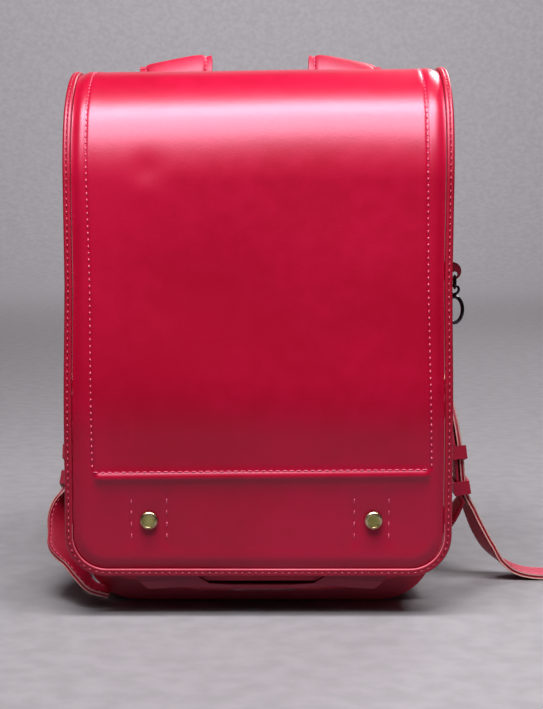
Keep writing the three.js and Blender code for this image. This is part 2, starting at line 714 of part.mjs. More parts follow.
// Places along the strap's stations, counted from the last of the padded ones
const strapPlaces = { belt: -1.3, buckle: -1.1, upperKeeper: 0.95, lowerKeeper: 1.9, parting: 2.5 };
const strapSteps = 74;
const sharedSteps = 20;
const lowerSteps = 14;
const lowerStart = 0.09;
for (const [side, mirror, free] of [['left', -1, freeEndLeft], ['right', 1, freeEndRight]]) {
  const rows = shoulderRows.concat(free);
  const route = strapRoute(rows, mirror);
  const station = (place) => (shoulderRows.length + place) / (rows.length - 1);
  const strapRings = sections(route, 0, 1, strapSteps, strapWidth, strapThickness);
  add(`shoulder_strap_${side}`, loft(strapRings, strapCap), 'leather');

  // The short belt lies against the strap's inner face between buckle and keepers
  const layer = -(beltThickness + lowerBeltThickness) / 2 - layerGap;
  const parting = route.at(station(strapPlaces.parting));
  const start = parting.centre.clone().addScaledVector(parting.out, layer);
  const startRow = {
    x: (2 * mirror * start.x) / strapSpan,
    y: start.y / mainDepth,
    z: start.z / topHeight,
    sx: mirror * parting.side.x,
    sy: parting.side.y,
    sz: parting.side.z,
    width: 1,
    thick: 1,
  };
  const lowerRoute = strapRoute([startRow, lowerBeltParting[side], ...lowerBeltRows], mirror);
  const shared = sections(
    route,
    station(strapPlaces.belt),
    station(strapPlaces.parting),
    sharedSteps,
    strapWidth,
    lowerBeltThickness / beltThin,
    layer,
  );
  const own = sections(lowerRoute, lowerStart, 1, lowerSteps, beltWidth, lowerBeltThickness);
  add(`lower_belt_${side}`, loft(shared.concat(own), strapCap), 'leather');

  // A frame with a window, standing square to the strap around both leathers
  const band = (place, wallThickness, height, room) => {
    const frame = route.at(station(place));
    const half = beltWidth / 2 + keeperClear + wallThickness;
    const outer = beltThickness / 2 + room + wallThickness;
    const inner = -beltThickness / 2 - layerGap - lowerBeltThickness - room - wallThickness;
    const shape = new THREE.Shape();
    shape.moveTo(-half, inner);
    shape.lineTo(half, inner);
    shape.lineTo(half, outer);
    shape.lineTo(-half, outer);
    shape.closePath();
    const window = new THREE.Path();
    window.moveTo(-half + wallThickness, inner + wallThickness);
    window.lineTo(-half + wallThickness, outer - wallThickness);
    window.lineTo(half - wallThickness, outer - wallThickness);
    window.lineTo(half - wallThickness, inner + wallThickness);
    window.closePath();
    shape.holes.push(window);
    const geometry = new THREE.ExtrudeGeometry(shape, { depth: height, bevelEnabled: false });
    geometry.translate(0, 0, -height / 2);
    const basis = new THREE.Matrix4().makeBasis(
      frame.side.clone().multiplyScalar(-mirror),
      frame.out,
      frame.along,
    );
    basis.setPosition(frame.centre);
    geometry.applyMatrix4(basis);
    return geometry;
  };
  const upperKeeper = band(strapPlaces.upperKeeper, keeperWall, keeperHeight, keeperRoom);
  add(`keeper_upper_${side}`, upperKeeper, 'leather');
  const lowerKeeper = band(strapPlaces.lowerKeeper, keeperWall, keeperHeight, keeperRoom);
  add(`keeper_lower_${side}`, lowerKeeper, 'leather');
  add(`buckle_${side}`, band(strapPlaces.buckle, buckleWire, buckleHeight, buckleRoom), 'brass');

  // The ring at the bottom corner that the short belt hangs on
  const low = lowerRoute.at(1);
  const ring = new THREE.TorusGeometry(baseRingHeight / 2, ringWire / 2, 8, 20);
  ring.rotateY(Math.PI / 2);
  const baseRing = add(`base_ring_${side}`, ring, 'brass');
  baseRing.position.copy(low.centre).addScaledVector(low.along, baseRingHeight / 2 + ringWire / 2 + seatGap);

  // The leather tab on the back wall that holds the ring
  const baseTab = new THREE.BoxGeometry(baseTabWidth, baseTabThickness, baseTabHeight);
  const tabOut = mirror * (Math.abs(baseRing.position.x) + ringWire - baseTabWidth / 2);
  const tabNode = add(`base_tab_${side}`, baseTab, 'leather');
  tabNode.position.set(tabOut, backFace + seatGap + baseTabThickness / 2, baseRing.position.z);

  // The metal loop on the strap plate that carries the strap's root
  const root = route.at(0);
  const rootHalf = (root.width * strapWidth) / 2 + ringWire;
  const loopFar = root.centre.y + ringWire / 2;
  const loop = new THREE.Shape();
  loop.moveTo(-rootHalf, plateFace + seatGap);
  loop.lineTo(rootHalf, plateFace + seatGap);
  loop.lineTo(rootHalf, loopFar);
  loop.lineTo(-rootHalf, loopFar);
  loop.closePath();
  const slot = new THREE.Path();
  slot.moveTo(-rootHalf + ringWire, plateFace + seatGap + ringWire);
  slot.lineTo(-rootHalf + ringWire, loopFar - ringWire);
  slot.lineTo(rootHalf - ringWire, loopFar - ringWire);
  slot.lineTo(rootHalf - ringWire, plateFace + seatGap + ringWire);
  slot.closePath();
  loop.holes.push(slot);
  const loopGeometry = new THREE.ExtrudeGeometry(loop, { depth: ringWire, bevelEnabled: false });
  const strapLoop = add(`strap_ring_${side}`, loopGeometry, 'brass');
  const rootDrop = (root.width * strapWidth * Math.abs(root.side.z)) / 2 + ringWire + seatGap;
  strapLoop.position.set(root.centre.x, 0, root.centre.z - rootDrop - rootSlack);
}

// A brass ring on a short leather tab at the left strap's outer edge
const chestAt = 1.75;
const chestTab = { length: 9, thickness: 2.4, height: 6 };
const chestRadius = 6;
const chestShift = 1.4;
const chestWire = ringWire / 3;
const chestRoute = strapRoute(shoulderRows.concat(freeEndLeft), -1);
const chestFrame = chestRoute.at(chestAt / (shoulderRows.length + freeEndLeft.length - 1));
const chestReach = (chestFrame.width * strapWidth) / 2 + seatGap + chestTab.length / 2;
const chestCentre = chestFrame.centre.clone().addScaledVector(chestFrame.side, chestReach);
const chestBasis = new THREE.Matrix4().makeBasis(chestFrame.side, chestFrame.out, chestFrame.along);
chestBasis.setPosition(chestCentre);
const chestBox = new THREE.BoxGeometry(chestTab.length, chestTab.thickness, chestTab.height);
chestBox.applyMatrix4(chestBasis);
add('chest_tab', chestBox, 'leather');
const chestTorus = new THREE.TorusGeometry(chestRadius, chestWire, 8, 20);
chestTorus.rotateY(Math.PI / 4);
const chestRing = add('chest_ring', chestTorus, 'brass');
chestRing.position.copy(chestCentre).addScaledVector(chestFrame.side, chestShift);

// The side hook's tab, sewn into the seam before the main compartment's front wall
const tabStart = smallWidth / 2 + 2 * seatGap;
const tabEnd = tabStart + tabReach;
const tabRound = tabHeight / 2;
const holeInset = 4.2;
const holeDrop = 2.2;
const tabShape = new THREE.Shape();
tabShape.moveTo(tabStart, -tabRound);
tabShape.lineTo(tabEnd - tabRound, -tabRound);
tabShape.absarc(tabEnd - tabRound, 0, tabRound, -Math.PI / 2, Math.PI / 2, false);
tabShape.lineTo(tabStart, tabRound);
tabShape.closePath();
const eyelet = new THREE.Path();
eyelet.absarc(tabEnd - holeInset, -holeDrop, tabHole, 0, 2 * Math.PI, true);
tabShape.holes.push(eyelet);
const tabGeometry = new THREE.ExtrudeGeometry(tabShape, {
  depth: tabThickness,
  bevelEnabled: false,
  curveSegments: 8,
});
tabGeometry.rotateX(Math.PI / 2);
const tab = add('hook_tab', tabGeometry, 'leather');
tab.position.set(0, dividerFront - seatGap, tabCentre);

// The hook hangs from the tab's eyelet by a link. Its group's origin is the eyelet.
const hook = new THREE.Group();
hook.position.set(tabEnd - holeInset, dividerFront - seatGap - tabThickness / 2, tabCentre - holeDrop);
bag.add(hook);
const linkGeometry = new THREE.TorusGeometry(linkRadius, linkWire, 8, 20);
linkGeometry.rotateY(Math.PI / 2);
const linkDrop = linkRadius + tabHole - linkWire - seatGap;
add('hook_link', linkGeometry, 'gunmetal', hook).position.z = -linkDrop;

function tube(points, radius, steps) {
  const shape = new THREE.Shape();
  shape.absarc(0, 0, radius, 0, 2 * Math.PI, false);
  return new THREE.ExtrudeGeometry(shape, {
    steps,
    curveSegments: 4,
    extrudePath: new THREE.CatmullRomCurve3(points),
  });
}
function solid(geometry) {
  const bare = geometry.clone();
  bare.deleteAttribute('normal');
  bare.deleteAttribute('uv');
  const merged = mergeVertices(bare, 1e-4);
  return new wasm.Manifold(new wasm.Mesh({
    numProp: 3,
    vertProperties: new Float32Array(merged.attributes.position.array),
    triVerts: new Uint32Array(merged.index.array),
  }));
}
function joined(pieces) {
  const whole = pieces.map(solid).reduce((sum, piece) => sum.add(piece));
  const mesh = whole.getMesh();
  const geometry = new THREE.BufferGeometry();
  geometry.setAttribute('position', new THREE.BufferAttribute(mesh.vertProperties, 3));
  geometry.setIndex(new THREE.BufferAttribute(mesh.triVerts, 1));
  geometry.computeVertexNormals();
  return geometry;
}

const eyeDrop = linkDrop + linkRadius + eyeRadius - eyeWire - linkWire - seatGap;
const shankLength = 2;
const loopDrop = eyeDrop + eyeRadius + shankLength + hookHalfHeight;
const onLoop = (degrees) => {
  const angle = THREE.MathUtils.degToRad(degrees);
  return new THREE.Vector3(hookHalfWidth * Math.cos(angle), 0, hookHalfHeight * Math.sin(angle) - loopDrop);
};
const loopStart = 122;
const loopEnd = -135;
const loopTurns = 12;
const loopSteps = 22;
const gateSteps = 8;
const shankRadius = hookWire * 1.2;
const loopPoints = [];
for (let k = 0; k <= loopTurns; k += 1) {
  loopPoints.push(onLoop(mix(loopStart, loopEnd, k / loopTurns)));
}
const eye = new THREE.TorusGeometry(eyeRadius, eyeWire, 8, 16);
eye.rotateX(Math.PI / 2);
eye.translate(0, 0, -eyeDrop);
const shank = new THREE.CylinderGeometry(shankRadius, shankRadius, shankLength + hookWire, 10);
shank.rotateX(Math.PI / 2);
shank.translate(0, 0, -eyeDrop - eyeRadius - shankLength / 2);
add('snap_hook', joined([tube(loopPoints, hookWire, loopSteps), eye, shank]), 'gunmetal', hook);

// The sprung gate closes the hook's open side, end to end with its two tips
const gateShares = [
  { along: 0, out: 0 },
  { along: 0.3, out: 0.16 },
  { along: 0.7, out: 0.16 },
  { along: 1, out: 0 },
];
const upperTip = onLoop(loopStart);
const lowerTip = onLoop(loopEnd);
const span = lowerTip.clone().sub(upperTip);
const slack = gateGap / span.length();
const gatePoints = gateShares.map(({ along, out }) => {
  const share = mix(slack, 1 - slack, along);
  const point = upperTip.clone().addScaledVector(span, share);
  point.x -= out * hookHalfWidth;
  return point;
});
add('hook_gate', tube(gatePoints, gateWire, gateSteps), 'gunmetal', hook);

export default bag;
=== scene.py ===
# A leather school ransel that stands on its base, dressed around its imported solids.
# Sizes and shapes are written in millimetres and become metres in made(). The front
# looks along -Y, +X is to the right of someone who faces the front, and +Z is up.
import math

import bmesh
import bpy
import numpy as np
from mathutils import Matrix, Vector


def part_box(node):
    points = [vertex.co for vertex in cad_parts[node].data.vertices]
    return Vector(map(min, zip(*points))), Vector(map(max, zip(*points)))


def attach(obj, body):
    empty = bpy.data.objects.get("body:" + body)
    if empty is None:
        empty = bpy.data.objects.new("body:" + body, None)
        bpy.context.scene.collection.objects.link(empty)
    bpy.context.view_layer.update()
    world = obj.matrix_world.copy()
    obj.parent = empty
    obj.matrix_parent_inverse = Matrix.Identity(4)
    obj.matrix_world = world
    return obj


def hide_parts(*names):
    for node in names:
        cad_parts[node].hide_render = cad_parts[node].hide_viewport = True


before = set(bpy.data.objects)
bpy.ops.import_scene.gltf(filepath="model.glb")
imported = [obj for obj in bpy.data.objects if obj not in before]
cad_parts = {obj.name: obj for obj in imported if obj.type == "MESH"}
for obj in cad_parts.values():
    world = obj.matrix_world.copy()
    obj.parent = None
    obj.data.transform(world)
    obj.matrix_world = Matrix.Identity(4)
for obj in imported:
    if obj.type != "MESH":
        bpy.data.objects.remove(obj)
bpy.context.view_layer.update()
MM = 0.001


# Leather
# The hide is a rose-red synthetic one, pressed with a fine grain and finished with a
# soft lacquer. Its red is a little cloudy, and the lacquer is duller in patches.
class Wire:
    """A value on its way through a finish."""

    def __init__(self, finish, socket):
        self.finish = finish
        self.socket = socket

    def __add__(self, other):
        return self.finish.maths("ADD", self, other)

    def __sub__(self, other):
        return self.finish.maths("SUBTRACT", self, other)

    def __rsub__(self, other):
        return self.finish.maths("SUBTRACT", other, self)

    def __mul__(self, other):
        return self.finish.maths("MULTIPLY", self, other)

    __radd__ = __add__
    __rmul__ = __mul__


class Finish:
    """A material whose shader is fed by wires."""

    def __init__(self, name, shader):
        self.material = bpy.data.materials.new(name)
        self.material.use_nodes = True
        self.tree = self.material.node_tree
        self.shader = self.tree.nodes["Principled BSDF"]
        self.place = self.node("ShaderNodeTexCoord", {}, {}, "Object")
        for socket, value in shader.items():
            self.put(self.shader.inputs[socket], value)

    def put(self, socket, value):
        if isinstance(value, Wire):
            self.tree.links.new(value.socket, socket)
        else:
            socket.default_value = value

    def node(self, kind, settings, values, output=0):
        node = self.tree.nodes.new(kind)
        for setting, value in settings.items():
            setattr(node, setting, value)
        for socket, value in values.items():
            self.put(node.inputs[socket], value)
        return Wire(self, node.outputs[output])

    def maths(self, operation, first, second):
        return self.node("ShaderNodeMath", {"operation": operation}, {0: first, 1: second})

    def rise(self, value, low, high):
        limits = {"Value": value, "From Min": low, "From Max": high}
        return self.node("ShaderNodeMapRange", {"interpolation_type": "SMOOTHSTEP"}, limits)

    def cloud(self, scale, detail):
        values = {"Vector": self.place, "Scale": scale, "Detail": detail}
        return self.node("ShaderNodeTexNoise", {}, values)

    def cells(self, scale):
        values = {"Vector": self.place, "Scale": scale}
        return self.node("ShaderNodeTexVoronoi", {"feature": "SMOOTH_F1"}, values)

    def colours(self, share, first, second):
        settings = {"data_type": "RGBA"}
        return self.node("ShaderNodeMix", settings, {0: share, 6: first, 7: second}, 2)

    def bump(self, height, depth, strength):
        values = {"Height": height, "Distance": depth * MM, "Strength": strength}
        return self.node("ShaderNodeBump", {}, values)

    def feed(self, **wires):
        for name, wire in wires.items():
            self.put(self.shader.inputs[name.replace("_", " ")], wire)
        return self.material


def tone(red, green, blue):
    """The light that a tone from 0 to 255 stands for."""
    shares = (np.array([red, green, blue]) / 255 + 0.055) / 1.055
    return [*(shares**2.4), 1]


# How many patches, mottles, pores and creases lie along a metre of hide
patch_scale = 7
mottle_scale = 90
pore_scale = 1500
crease_scale = 420
patch_share = 0.75
pore_share = 0.6
patch_dulling = 0.08
mottle_dulling = 0.06
grain_depth = 0.12
lacquer = {"Coat Roughness": 0.3, "Coat Weight": 0.12, "Specular Tint": (1, 0.66, 0.92, 1)}


def leather(name, deep, bright, gloss, grain):
    """A hide that clouds between two tones, with its own dullness and coarseness."""
    finish = Finish(name, lacquer)
    patches = finish.cloud(patch_scale, 3)
    mottle = finish.cloud(mottle_scale, 4)
    cloudy = patches * patch_share + mottle * (1 - patch_share)
    pores = finish.cells(pore_scale)
    creases = finish.cloud(crease_scale, 3)
    surface = pores * pore_share + creases * (1 - pore_share)
    return finish.feed(
        Base_Color=finish.colours(finish.rise(cloudy, 0.35, 0.65), deep, bright),
        Roughness=gloss + patches * patch_dulling + mottle * mottle_dulling,
        Normal=finish.bump(surface, grain_depth * grain, 0.5),
    )


flap_leather = leather("flap_leather", tone(154, 1, 36), tone(168, 2, 46), 0.23, 1)
body_leather = leather("body_leather", tone(158, 2, 32), tone(178, 4, 40), 0.34, 1.5)
# A darker copy of the red leather: on the lock tongue it is painted shade under the hem, and the
# hook tab wears it too.
dark_and_shaded_leather = leather("dark_and_shaded_leather", tone(108, 2, 22), tone(132, 4, 30), 0.36, 1)


# Flap
# One long padded panel that is sewn to the back, runs over the top and hangs down the
# front. A stitched rectangle and a cross seam press channels into its padding.
flap_low, flap_high = (np.array(corner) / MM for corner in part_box("flap"))
edge_low, edge_high = (np.array(corner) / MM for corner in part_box("flap_binding"))
flap_thickness = 3.6
flap_top = 354
flap_seam = 318
flap_waist = 138
flap_lean = 36
back_drop = 5
back_bend = 24
front_bend = 84
waist_bend = 240
hem_radius = 27
binding_width = 5.2
seam_gap = 0.3
flap_corners = [
    (flap_high[1], flap_seam, 0),
    (flap_high[1], flap_top - back_drop, back_bend),
    (flap_low[1] + flap_lean, flap_top, front_bend),
    (flap_low[1], flap_waist, waist_bend),
    (flap_low[1], edge_low[2], 0),
]


def rounded_path(corners, step=1.0):
    """Points along straight runs and round corners, each (u, v, radius)."""
    places = [np.array(corner[:2], float) for corner in corners]
    points = [places[0]]
    for before, corner, after, (_, _, radius) in zip(
        places, places[1:], places[2:], corners[1:]
    ):
        into = (corner - before) / np.linalg.norm(corner - before)
        out = (after - corner) / np.linalg.norm(after - corner)
        turn = math.atan2(into[0] * out[1] - into[1] * out[0], into @ out)
        start = corner - into * radius * math.tan(abs(turn) / 2)
        side = np.array([-into[1], into[0]]) * math.copysign(1, turn)
        for share in np.linspace(0, 1, max(3, int(abs(turn) * radius / step))):
            angle = abs(turn) * share
            points.append(
                start + radius * (math.sin(angle) * into + (1 - math.cos(angle)) * side)
            )
    points.append(places[-1])
    return np.array(points)


# From this height up the flap widens a little, over this rise
spread_start = 215
spread_rise = 110
flap_spread = 0.024


class Surface:
    """A surface that follows a path in the side view, measured along it."""

    def __init__(self, path, spread):
        self.path = path
        self.spread = spread
        steps = np.linalg.norm(np.diff(path, axis=0), axis=1)
        self.marks = np.concatenate([[0], np.cumsum(steps)])
        self.length = self.marks[-1]
        self.fine = np.linspace(0, self.length, int(self.length))
        along = np.gradient(self.spot(self.fine), axis=0)
        self.along = along / np.linalg.norm(along, axis=1)[:, None]

    def spot(self, distance):
        return np.stack([np.interp(distance, self.marks, c) for c in self.path.T], -1)

    def at(self, distance, across, lift):
        distance, across, lift = np.broadcast_arrays(distance, across, lift)
        spot = self.spot(distance)
        run = [np.interp(distance, self.fine, c) for c in self.along.T]
        risen = np.clip((spot[..., 1] - spread_start) / spread_rise, 0, 1)
        across = across * (1 + self.spread * risen)
        return np.stack([across, spot[..., 0] + run[1] * lift, spot[..., 1] - run[0] * lift], -1)


flap = Surface(rounded_path(flap_corners), flap_spread)


def dome(distance, width):
    return np.exp(-((distance / width) ** 2))


def raised(distance, shape):
    """A swell, or a groove if its height is negative, that fades over its width."""
    height, width = shape
    return height * dome(distance, width)


# Stitch lines of the rectangle, as places across the flap at its top and at the seam
seam_height = 96.4
seam_distance = flap.length - (seam_height - edge_low[2])
seam_slope = 0.009
front_start = 175
left_line = (-110.2, -106.8)
right_line = (107.6, 111.4)
rivet_spots = [(-70.6, 64.2), (74.2, 64.2)]
rivet_seams = [-82.0, -59.2, 61.8, 84.2]
rivet_seam_heights = (50, 81)
flap_dents = [
    {"across": -70.6, "height": 288.5, "size": 10, "depth": 1.0},
    {"across": -72, "height": 277, "size": 9, "depth": -0.5},
    {"across": -37, "height": 212, "size": 50, "depth": 2},
]
# Swells and grooves of the padding, each a height and a width, and where they lie
border_swell = (0.3, 4)
border_inset = 8
edge_drop = (-1.6, 3.6)
channel_bank = (0.15, 2.4)
bank_away = 3.6
channel_groove = (-0.6, 1.0)
channel_fade = 3
seam_roll = (2.0, 3.5)
roll_below = 3.7
seam_groove = (-0.3, 0.9)
seam_fade = 4
rivet_press = (-1.1, 10)
rivet_groove = (-0.75, 1.7)
wave_height = 0.35
wave_runs = ((31, 47), (-83, 23))
crest_rise = 7.6
crest_slant = 1.6
crest_width = 36


def line_at(line, distance):
    share = np.clip((distance - front_start) / (seam_distance - front_start), 0, 1)
    return line[0] + (line[1] - line[0]) * share


def cross_seam(across):
    """How far down the flap the cross seam lies, a little higher on the right."""
    return seam_distance - seam_slope * across


def between(value, low, high):
    """1 between two places, with a short fade inside each."""
    return np.clip((value - low) / seam_fade, 0, 1) * np.clip((high - value) / seam_fade, 0, 1)


def edge_distance(distance, across, half, end, radius):
    past_side = np.maximum(np.abs(across) - (half - radius), 0)
    past_end = np.maximum(distance - (end - radius), 0)
    return radius - np.hypot(past_side, past_end)


def crest_lift(across, height):
    """The bend over the top is fuller than the board under it, more so on the right."""
    return (crest_rise + crest_slant * across / flap_high[0]) * dome(height - flap_top, crest_width)


def flap_relief(distance, across):
    """How far the padding, its channels and its wear lift the flap's face."""
    place = flap.at(distance, across, 0)
    front = place[..., 1] < 0
    height = place[..., 2]
    end = flap.length - binding_width - seam_gap
    inward = edge_distance(distance, across, flap_high[0], end, hem_radius - binding_width)
    lift = raised(inward - border_inset, border_swell) + raised(inward, edge_drop)
    above_seam = np.clip((seam_distance - distance) / channel_fade, 0, 1)
    for line in (left_line, right_line):
        away = across - line_at(line, distance)
        channel = raised(np.abs(away) - bank_away, channel_bank) + raised(away, channel_groove)
        lift = lift + channel * above_seam
    below = distance - cross_seam(across)
    roll = raised(below - roll_below, seam_roll) + raised(below, seam_groove)
    lift = lift + roll * between(across, left_line[1], right_line[1])
    for x, z in rivet_spots:
        lift = lift + raised(np.hypot(across - x, height - z), rivet_press) * front
    low, high = rivet_seam_heights
    beside_leg = between(height, low - seam_fade, high + seam_fade)
    for x in rivet_seams:
        lift = lift + raised(across - x, rivet_groove) * beside_leg * front
    for dent in flap_dents:
        away = np.hypot(across - dent["across"], height - dent["height"])
        lift = lift - dent["depth"] * dome(away, dent["size"]) * front
    first, second = (np.sin(across / x + height / z) for x, z in wave_runs)
    return lift + wave_height * (first * second) + crest_lift(across, height)


least_gap = 0.3


def grown(*spacings):
    """Sorted places from (start, end, step) runs, with no two closer than the least gap."""
    places = np.sort(np.concatenate([np.arange(*spacing) for spacing in spacings]))
    keep = [places[0]]
    for place in places[1:]:
        if place - keep[-1] >= least_gap:
            keep.append(place)
    return np.array(keep)


def made(name, points, faces, material, sharp=None):
    """A mesh piece from points in millimetres, with its faces turned outwards."""
    mesh = bpy.data.meshes.new(name)
    mesh.from_pydata((np.asarray(points) * MM).tolist(), [], [list(face) for face in faces])
    shape = bmesh.new()
    shape.from_mesh(mesh)
    bmesh.ops.recalc_face_normals(shape, faces=shape.faces)
    shape.to_mesh(mesh)
    shape.free()
    mesh.shade_smooth()
    if sharp is not None:
        mesh.set_sharp_from_angle(angle=math.radians(sharp))
    mesh.materials.append(material)
    piece = bpy.data.objects.new(name, mesh)
    bpy.context.scene.collection.objects.link(piece)
    return piece


def loft(name, rings, material, sharp=None):
    """A closed body through rings that each run once round it, with both ends capped."""
    count = len(rings[0])
    last = (len(rings) - 1) * count
    faces = []
    for here in range(0, last, count):
        there = here + count
        for j in range(count):
            n = (j + 1) % count
            faces.append((here + j, here + n, there + n, there + j))
    for j in range(count // 2 - 1):
        near = (j, j + 1, count - 2 - j, count - 1 - j)
        faces.append(near)
        faces.append(tuple(last + corner for corner in near))
    return made(name, np.concatenate(rings), faces, material, sharp)


# Steps between the flap's points, and how far from a seam or an edge they stay fine
plain_step = 2.6
seam_step = 0.7
seam_reach = 6
edge_step = 0.8
edge_reach = 5
cross_step = 0.6
cross_reach = (9, 10)
hem_reach = 6
middle_share = 0.55


def flap_rings():
    """Rings across the flap, one after another down its length."""
    half = flap_high[0]
    end = flap.length - binding_width - seam_gap
    radius = hem_radius - binding_width
    columns = grown(
        (-half, half, plain_step),
        (left_line[0] - seam_reach, left_line[1] + seam_reach, seam_step),
        (right_line[0] - seam_reach, right_line[1] + seam_reach, seam_step),
        (half - edge_reach, half, edge_step),
        (-half, -half + edge_reach, edge_step),
    )
    columns = np.array([-half, *columns[np.abs(columns) < half - least_gap], half])
    rows = grown(
        (0, end, plain_step),
        (seam_distance - cross_reach[0], seam_distance + cross_reach[1], cross_step),
        (end - hem_reach, end, edge_step),
    )
    rings = []
    for distance in [*rows, end]:
        left = min(end - distance, radius)
        width = half - radius + math.sqrt(radius**2 - (radius - left) ** 2)
        squeeze = width / half
        across = columns * (squeeze + (1 - squeeze) * dome(columns / half, middle_share))
        across = across / np.abs(across).max() * width
        outer = flap.at(distance, across, flap_relief(distance, across))
        inner = flap.at(distance, across, -flap_thickness)
        rings.append(np.concatenate([outer, inner[::-1]]))
    return rings


flap_panel = loft("flap_panel", flap_rings(), flap_leather, sharp=50)
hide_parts("flap")
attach(flap_panel, "root")


# Flap binding
# A strip of leather is folded over the flap's raw edge and sewn through. It lies a
# little proud, with a groove along its stitches, and low down its ridge is painted pale
# as a highlight.
# Pale pink painted highlight for the binding's ridge low down.
ridge_highlight = leather("ridge_highlight", tone(150, 58, 76), tone(196, 104, 118), 0.6, 2)
strip_leather = leather("strip_leather", tone(142, 1, 31), tone(158, 2, 38), 0.33, 1.6)
binding_section = [
    (0.0, -2.0), (0.1, -0.8), (0.6, 0.1), (1.4, 0.45), (2.1, 0.3), (2.5, 0.05), (2.9, 0.3),
    (3.7, 0.6), (4.6, 0.45), (5.1, 0.0), (5.2, -0.8), (5.2, -3.4), (4.6, -3.9), (0.9, -4.0),
    (0.15, -3.2),
]
ridge_corners = {8, 9}
highlight_height = 62
route_step = 1.6
corner_points = 28
middle_gap = 1


def binding_route(inset):
    """(distance, across, toward distance, toward across) round the flap's free edge."""
    half = edge_high[0]
    straight = flap.length - hem_radius
    down = [(s, -half, 0, 1) for s in np.arange(0, straight, route_step)]
    turn = []
    for angle in np.linspace(0, math.pi / 2, corner_points):
        turn.append((
            straight + hem_radius * math.sin(angle),
            -half + hem_radius - hem_radius * math.cos(angle),
            -math.sin(angle),
            math.cos(angle),
        ))
    along_hem = np.arange(-half + hem_radius, -middle_gap, route_step)
    bottom = [(flap.length, x, -1, 0) for x in along_hem[1:]]
    left = np.array(down + turn + bottom)
    right = left[::-1] * [1, -1, 1, -1]
    route = np.concatenate([left, right])
    route[:, 0] += route[:, 2] * inset
    route[:, 1] += route[:, 3] * inset
    return route


def binding_lift(distance, across):
    return crest_lift(across, flap.at(distance, 0, 0)[..., 2])


insets, rises = np.array(binding_section).T
binding_rings = []
for s, x, ds, dx in binding_route(0):
    distances = s + ds * insets
    acrosses = x + dx * insets
    lifts = rises + binding_lift(distances, acrosses)
    binding_rings.append(flap.at(distances, acrosses, lifts))
flap_edging = loft("flap_edging", binding_rings, strip_leather, sharp=60)
flap_edging.data.materials.append(ridge_highlight)
for face in flap_edging.data.polygons:
    places = {vertex % len(binding_section) for vertex in face.vertices}
    # Ridge faces below this height get the painted highlight.
    pale = places == ridge_corners and face.center.z < highlight_height * MM
    face.material_index = 1 if pale else 0
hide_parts("flap_binding")
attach(flap_edging, "root")


# Stitches
# Waxed rose thread, a little lighter than the leather, and darker on the binding.
# Each stitch is a short rounded bar that sinks into the leather at both of its holes.
twist_scale = 1600
thread_gloss = 0.5
twist_dulling = 0.15


def thread(name, deep, bright):
    finish = Finish(name, {"Coat Weight": 0.1})
    twist = finish.cloud(twist_scale, 1)
    return finish.feed(
        Base_Color=finish.colours(finish.rise(twist, 0.35, 0.65), deep, bright),
        Roughness=thread_gloss + twist * twist_dulling,
        Normal=finish.bump(twist, 0.1, 0.6),
    )


rose_thread = thread("rose_thread", tone(188, 42, 80), tone(228, 102, 136))
darker_thread = thread("darker_thread", tone(148, 20, 46), tone(198, 76, 102))
# Rings of one stitch: the place along it, the rise and the size, as shares of half of it
bar_rings = [(-1, 0.0, 0.3), (-0.8, 0.55, 0.85), (-0.3, 1.0, 1.0), (0.3, 1.0, 1.0),
             (0.8, 0.55, 0.85), (1, 0.0, 0.3)]
bar_sides = 6
bar_sunk = 0.65
bar_flat = 0.8


def stitches(name, lines, pitch, length, width, material):
    """Stitches along lines, each (points, normals), joined into one piece."""
    turns = np.arange(bar_sides) * math.tau / bar_sides
    points = []
    faces = []
    for line, normals in lines:
        steps = np.linalg.norm(np.diff(line, axis=0), axis=1)
        marks = np.concatenate([[0], np.cumsum(steps)])
        for mark in np.arange(pitch / 2, marks[-1], pitch):
            ends = [
                np.array([np.interp(mark + d, marks, c) for c in line.T])
                for d in (-length / 2, length / 2)
            ]
            centre = (ends[0] + ends[1]) / 2
            along = (ends[1] - ends[0]) / np.linalg.norm(ends[1] - ends[0])
            up = np.array([np.interp(mark, marks, c) for c in normals.T])
            up = up - along * (up @ along)
            up = up / np.linalg.norm(up)
            side = np.cross(along, up)
            start = len(points)
            for place, rise, size in bar_rings:
                middle = centre + along * place * length / 2 + up * (rise - bar_sunk) * width / 2
                for turn in turns:
                    ring = side * math.cos(turn) + up * math.sin(turn) * bar_flat
                    points.append(middle + ring * size * width / 2)
            last = start + (len(bar_rings) - 1) * bar_sides
            for a in range(start, last, bar_sides):
                for j in range(bar_sides):
                    n = (j + 1) % bar_sides
                    faces.append((a + j, a + n, a + bar_sides + n, a + bar_sides + j))
            faces.append(tuple(range(start, start + bar_sides)))
            faces.append(tuple(range(last, last + bar_sides)))
    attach(made(name, points, faces, material), "root")


def on_flap(distances, acrosses, lifts):
    """A line on the flap's face with the directions that point out of it."""
    line = flap.at(distances, acrosses, lifts)
    normals = flap.at(distances, acrosses, lifts + 1) - line
    return line, normals


# How far apart, how long and how wide the stitches of each seam are
edging_stitch = (4.3, 2.0, 0.85)
panel_stitch = (4.3, 2.0, 0.95)
cross_stitch = (4.5, 3.1, 0.85)
rivet_stitch = (7.6, 3.6, 0.9)
edging_inset = 2.5
edging_rise = 0.35
panel_rise = 0.15
panel_start = 4
cross_rise = 0.2
line_step = 1.5
rivet_line_step = 0.5

